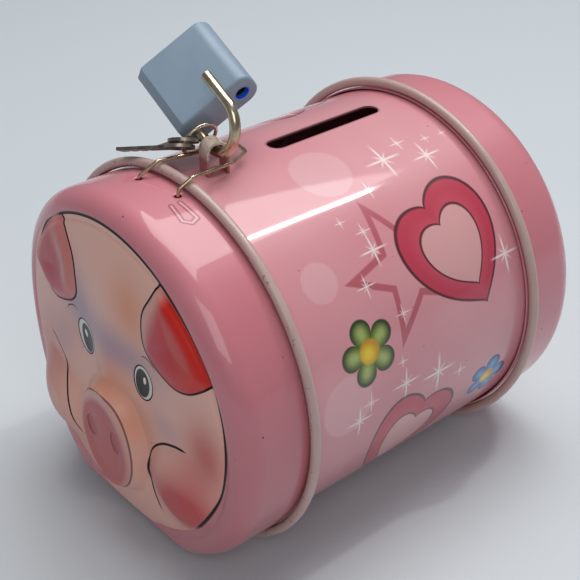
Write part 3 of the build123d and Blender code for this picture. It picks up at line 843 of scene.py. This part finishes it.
def lock_outline(grow):
    """The case's section: chamfered on the fixed-leg side, round on the free-leg side."""
    half_w, half_d = LOCK_WIDTH / 2 + grow, LOCK_DEPTH / 2 + grow
    middle = LEG_SPACING / 2
    chamfer, corner = LOCK_CHAMFER, LOCK_CORNER
    points = [(middle - half_w, -half_d + chamfer), (middle - half_w + chamfer, -half_d)]
    for side in (-1, 1):
        for k in range(9):
            a = math.radians(-90 + 90 * k / 8) if side < 0 else math.radians(90 * k / 8)
            points.append((middle + half_w - corner + corner * math.cos(a),
                           side * (half_d - corner) + corner * math.sin(a)))
    points += [(middle - half_w + chamfer, half_d), (middle - half_w, half_d - chamfer)]
    return points


def prism(name, outline, low, high, to_space):
    n = len(outline)
    points = [to_space(x, y, low) for x, y in outline] + [to_space(x, y, high) for x, y in outline]
    faces = [tuple(range(n))[::-1], tuple(range(n, 2 * n))]
    faces += [(k, (k + 1) % n, n + (k + 1) % n, n + k) for k in range(n)]
    return mesh_piece(name, [tuple(p) for p in points], faces, smooth=False)


def bore(name, x, y, radius, low, high):
    ring = [(x + radius * math.cos(a), y + radius * math.sin(a))
            for a in np.linspace(0, 2 * math.pi, 40, endpoint=False)]
    return prism(name, ring, low, high, in_lock)


def settle(piece):
    """Applies a piece's modifiers."""
    bpy.context.view_layer.update()
    shaped = bpy.data.meshes.new_from_object(
        piece.evaluated_get(bpy.context.evaluated_depsgraph_get()))
    piece.modifiers.clear()
    piece.data = shaped


def carve(piece, cutters):
    for cutter in cutters:
        cut = piece.modifiers.new("cut", "BOOLEAN")
        cut.operation, cut.object, cut.solver = "DIFFERENCE", cutter, "EXACT"
    settle(piece)
    for cutter in cutters:
        bpy.data.objects.remove(cutter)


def padlock_case():
    case = prism("padlock_case", lock_outline(-0.02), -LOCK_HEIGHT + 0.02, -0.02, in_lock)
    soft = case.modifiers.new("edges", "BEVEL")
    soft.width, soft.segments, soft.limit_method = 0.75 * MM, 4, "ANGLE"
    soft.angle_limit = math.radians(50)
    settle(case)
    cutters = [prism("hollow", lock_outline(-LOCK_WALL - 0.05), -LOCK_HEIGHT + LOCK_WALL,
                     -LOCK_WALL, in_lock),
               bore("leg_hole", 0, 0, LEG_HOLE, -3, 2),
               bore("free_hole", LEG_SPACING, 0, FREE_HOLE, -3, 2),
               bore("plug_hole", LEG_SPACING / 2, 0, PLUG_HOLE, -LOCK_HEIGHT - 2,
                    -LOCK_HEIGHT + 3)]
    carve(case, cutters)
    case.data.polygons.foreach_set("use_smooth", [True] * len(case.data.polygons))
    case.data.set_sharp_from_angle(angle=math.radians(32))
    return case


def plastic():
    made, tree, shader = new_material("padlock_plastic")
    x, y, z = object_mm(tree)
    base = in_lock(LEG_SPACING, 0, 0)
    dx, dy, dz = x - base.x, y - base.y, z - base.z
    side = dx * lock_w.x + dy * lock_w.y + dz * lock_w.z
    deep = dx * lock_t.x + dy * lock_t.y + dz * lock_t.z
    along = dx * lock_leg.x + dy * lock_leg.y + dz * lock_leg.z
    sleeve = far(side, deep).inside(1.75, 0.1) * along.size().inside(5.0, 0.2)
    colour = blend(tree, speckle(tree, 70, 3.0).inside(0.52, 0.4), PLASTIC, PLASTIC_LIGHT)
    colour = blend(tree, sleeve, colour, SLEEVE_BLUE)
    shader.inputs["Subsurface Weight"].default_value = 0.08
    shader.inputs["Subsurface Radius"].default_value = (0.002, 0.002, 0.003)
    height = speckle(tree, 1500, 3.0) * 0.5 + speckle(tree, 180, 2.0) * 0.8
    feed(tree, shader, colour, speckle(tree, 300, 3.0) * 0.16 + 0.30, bump(tree, height, 0.02))
    return made


def metal(name, bright, dull, rough, wear=0.5, rusty=0.0, stretch=(1, 1, 1)):
    made, tree, shader = new_material(name)
    patch = speckle(tree, 260, 4.0, stretch)
    colour = blend(tree, patch.inside(0.5, 0.25) * wear, bright, dull)
    colour = blend(tree, speckle(tree, 1900, 3.0, stretch).inside(0.38, 0.08) * 0.6 * wear, colour,
                   tuple(v * 0.45 for v in dull[:3]) + (1,))
    metallic = None
    roughness = patch * 0.2 + (rough - 0.06)
    if rusty:
        mask, = place(tree, RUST, rusty)
        colour = blend(tree, mask, colour, RUST_BROWN)
        roughness = roughness + mask * 0.45
        metallic = mask.flipped()
    else:
        shader.inputs["Metallic"].default_value = 1.0
    height = speckle(tree, 1400, 3.0, stretch)
    feed(tree, shader, colour, roughness, bump(tree, height, 0.015), metallic)
    return made


STAPLE_PINK_TO = 3.6  # how far above the barrel the staple's legs stay pink


def staple_paint():
    """Cream lacquer on the rolled top, pink on the legs, rust where it is bent."""
    made, tree, shader = new_material("staple_tin", coat=0.3, coat_rough=0.12)
    z = object_mm(tree)[2]
    top = (z - (AXIS_Z + TUBE_RADIUS + STAPLE_PINK_TO)).inside(0.0, 0.8).flipped()
    colour = blend(tree, top, STAPLE_PINK, STAPLE_CREAM)
    mask, = place(tree, RUST, 0.12)
    edge = speckle(tree, 1300, 4.0).inside(0.43, 0.06)
    colour = blend(tree, edge * 0.5, colour, STAPLE_WORN)
    colour = blend(tree, mask, colour, RUST_DARK)
    feed(tree, shader, colour, mask * 0.4 + 0.3, bump(tree, speckle(tree, 900, 3.0), 0.03))
    return made


GILT = metal("gilt_wire", srgb(216, 200, 170), srgb(164, 138, 104), 0.2, 0.6)
STEEL = metal("shackle_steel", srgb(222, 210, 186), srgb(176, 146, 104), 0.18, 0.6, 0.03)
RING = metal("ring_steel", srgb(226, 216, 196), srgb(150, 130, 104), 0.22, 0.6)
KEY = metal("key_steel", srgb(176, 168, 156), srgb(98, 88, 78), 0.34, 0.9)
BRASS = metal("core_brass", srgb(206, 176, 108), srgb(150, 118, 60), 0.3, 0.5)
PLAIN = metal("latch_steel", srgb(190, 190, 190), srgb(130, 130, 130), 0.3, 0.5)
HINGE = metal("hinge_wire", srgb(200, 196, 188), srgb(130, 116, 100), 0.3, 0.7, 0.03)


def dress(piece, material):
    piece.data.materials.clear()
    piece.data.materials.append(material)


REAR = rear_paint()
for node, look_of in (("body_tube", barrel_paint()), ("staple", staple_paint()),
                      ("hasp_wire", GILT), ("shackle", STEEL), ("key_ring", RING),
                      ("key_1", KEY), ("key_2", KEY), ("lock_core", BRASS), ("lock_plug", BRASS),
                      ("latch", PLAIN), ("hinge_pin", HINGE), ("hinge_leaf_body", REAR),
                      ("hinge_leaf_lid", REAR)):
    dress(nodes[node], look_of)


REAR_DISH, REAR_PANEL = 0.9, 30.0  # depth and radius of the rear end's panel


def plain_end(u, v):
    """The rear end: a shallow dished panel inside a raised ring."""
    out = np.hypot(u, v)
    return -REAR_DISH * (1 - step(out, REAR_PANEL, REAR_PANEL + 3.5)), {}


# the hasp's two holes in the lid: x, y and radius
HASP_HOLES = ((-5.2, FRONT_RIM_Y - 4.45, 0.95), (6.1, FRONT_RIM_Y - 3.0, 0.85))

lid = cap_shell("face_lid", FRONT_RIM_Y, -1, face_relief,
                holes=HASP_HOLES, leans=LID_LEAN)
dress(lid, lid_paint())
lid_curl = curl_ring("lid_curl", FRONT_RIM_Y, -1)
rear = cap_shell("rear_end", REAR_RIM_Y, 1, plain_end)
dress(rear, REAR)
rear_curl = curl_ring("rear_curl", REAR_RIM_Y, 1)
CURL = curl_paint()
for piece, body, node, slot in ((lid, "lid", "front_lid", "lid_tin"),
                                (lid_curl, "lid", "front_lid", "lid_tin"),
                                (rear, "tin", "rear_cap", "rear_tin"),
                                (rear_curl, "tin", "rear_cap", "rear_tin")):
    if "curl" in piece.name:
        dress(piece, CURL)
    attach(piece, body)
    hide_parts(node)

case = padlock_case()
dress(case, plastic())
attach(case, "padlock")
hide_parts("case_front", "case_back")


# ---- floor and light -----------------------------------------------------------------------
def floor():
    size = 3000.0
    piece = mesh_piece("floor", [(-size, -size, 0), (size, -size, 0), (size, size, 0),
                                 (-size, size, 0)], [(0, 1, 2, 3)], smooth=False)
    made, _, shader = new_material("floor")
    shader.inputs["Base Color"].default_value = FLOOR_PALE
    shader.inputs["Roughness"].default_value = 0.6
    dress(piece, made)


def softbox(name, position, target, width, height, power, colour=(1, 1, 1)):
    light = bpy.data.lights.new(name, "AREA")
    light.shape, light.size, light.size_y = "RECTANGLE", width, height
    light.energy, light.color = power, colour
    lamp = bpy.data.objects.new(name, light)
    lamp.location = position
    aim = Vector(target) - Vector(position)
    lamp.rotation_euler = aim.to_track_quat("-Z", "Y").to_euler()
    bpy.context.scene.collection.objects.link(lamp)


floor()
softbox("window", (0.08, 0.412, 0.655), (0, 0, 0.07), 0.02, 0.11, 0.7, (1, 0.99, 0.97))
softbox("overhead", (-0.1, 0.2, 0.9), (0, 0, 0.04), 0.7, 0.7, 6.2)
softbox("front_fill", (0.6, -0.45, 0.6), (0, 0, 0.04), 0.5, 0.5, 1.7)
world = bpy.data.worlds.new("studio")
world.use_nodes = True
world.node_tree.nodes["Background"].inputs[0].default_value = (0.78, 0.84, 0.9, 1)
world.node_tree.nodes["Background"].inputs[1].default_value = 0.24
bpy.context.scene.world = world
bpy.context.scene.view_settings.view_transform = "Standard"
